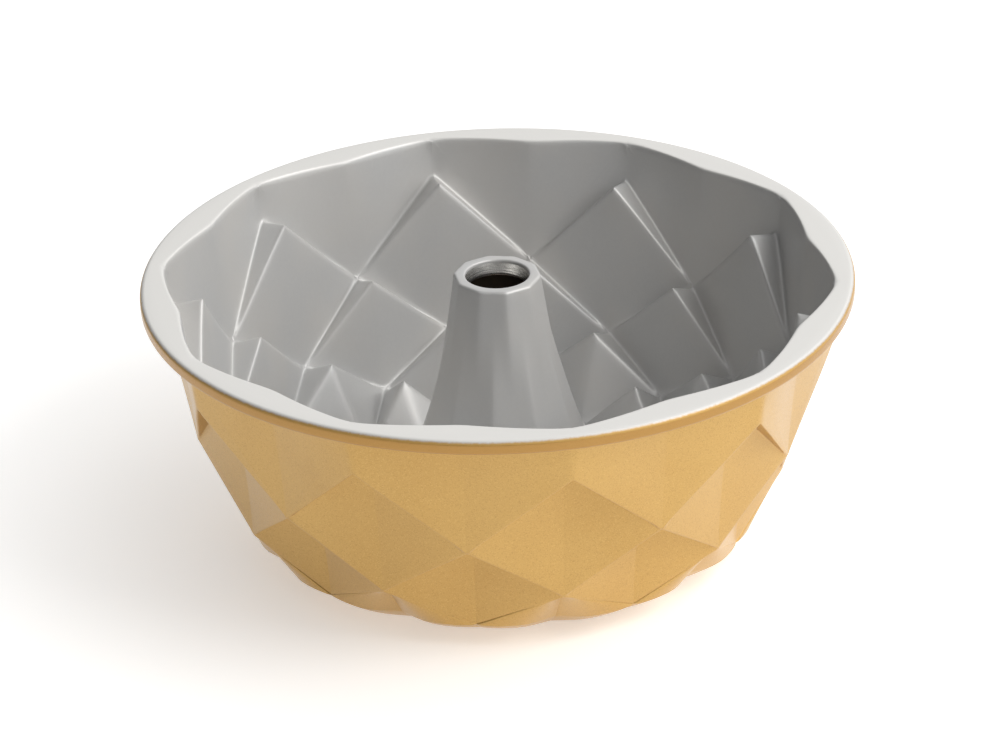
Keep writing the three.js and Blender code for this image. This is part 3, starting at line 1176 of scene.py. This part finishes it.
def makeFloor():
    half = studio["floorSize"] / 2
    corners = [(-half, -half, 0), (half, -half, 0), (half, half, 0), (-half, half, 0)]
    mesh = makeMesh("floor", corners, [(0, 1, 2, 3)], 1)
    material, g, _ = newMaterial("paleFloor", studio["floorColour"])
    endMaterial(
        g,
        {
            "Base Color": studio["floorColour"], "Roughness": 0.7,
            "Emission Color": (1, 1, 1, 1), "Emission Strength": studio["floorGlow"],
        },
    )
    mesh.materials.append(material)
    floor = bpy.data.objects.new("floor", mesh)
    bpy.context.scene.collection.objects.link(floor)


def addLamp(name, place, size, power, colour):
    lamp = bpy.data.lights.new(name, "AREA")
    lamp.shape = "RECTANGLE"
    lamp.size, lamp.size_y = size
    lamp.energy = power
    lamp.color = colour
    holder = bpy.data.objects.new(name, lamp)
    holder.location = place
    holder.rotation_euler = (Vector(studio["lookAt"]) - Vector(place)).to_track_quat("-Z", "Y").to_euler()
    bpy.context.scene.collection.objects.link(holder)


def makeSky():
    world = bpy.data.worlds.new("studioSky")
    world.use_nodes = True
    world.node_tree.nodes.clear()
    graph = Graph(world.node_tree)
    coordinates = world.node_tree.nodes.new("ShaderNodeTexCoord")
    way = Wire(graph, coordinates.outputs["Generated"])
    colour = graph.blend(1.0, (0, 0, 0, 1), (studio["skyLow"],) * 3 + (1,))
    for heading, strength, start, full, tint in studio["softLights"]:
        towards = tuple(Vector(heading).normalized())
        facing = graph.make("ShaderNodeVectorMath", {"operation": "DOT_PRODUCT"}, {0: way, 1: towards}, 1)
        glow = graph.ramp(facing, start, full) * strength
        added = graph.make("ShaderNodeVectorMath", {"operation": "SCALE"}, {0: tint[:3], "Scale": glow})
        colour = graph.make("ShaderNodeVectorMath", {"operation": "ADD"}, {0: colour, 1: added})
    glow = graph.make("ShaderNodeBackground", None, {"Color": colour, "Strength": 1.0})
    sink = world.node_tree.nodes.new("ShaderNodeOutputWorld")
    graph.plug(glow, sink.inputs["Surface"])
    bpy.context.scene.world = world


view = {
    "place": (0.17299, -1.45578, 0.81917),
    "pitch": 27.325,  # degrees below level
    "roll": 1.666,
    "lens": 165.22,
    "sensor": 36,
}


def makeCamera():
    place = Vector(view["place"])
    ahead = Vector((-place.x, -place.y, 0)).normalized()
    pitch, roll = math.radians(view["pitch"]), math.radians(view["roll"])
    forward = ahead * math.cos(pitch) - Vector((0, 0, 1)) * math.sin(pitch)
    right = Vector((ahead.y, -ahead.x, 0))
    above = right.cross(forward)
    imageRight = right * math.cos(roll) - above * math.sin(roll)
    imageUp = right * math.sin(roll) + above * math.cos(roll)
    data = bpy.data.cameras.new("camera")
    data.lens = view["lens"]
    data.sensor_width = view["sensor"]
    data.clip_end = 50
    camera = bpy.data.objects.new("camera", data)
    turn = Matrix((imageRight, imageUp, -forward)).transposed().to_4x4()
    camera.matrix_world = Matrix.Translation(place) @ turn
    bpy.context.scene.collection.objects.link(camera)
    bpy.context.scene.camera = camera


makeFloor()
for lamp in studio["lamps"]:
    addLamp(*lamp)
makeSky()
makeCamera()
bpy.context.scene.view_settings.view_transform = "Standard"
print("studio ready")
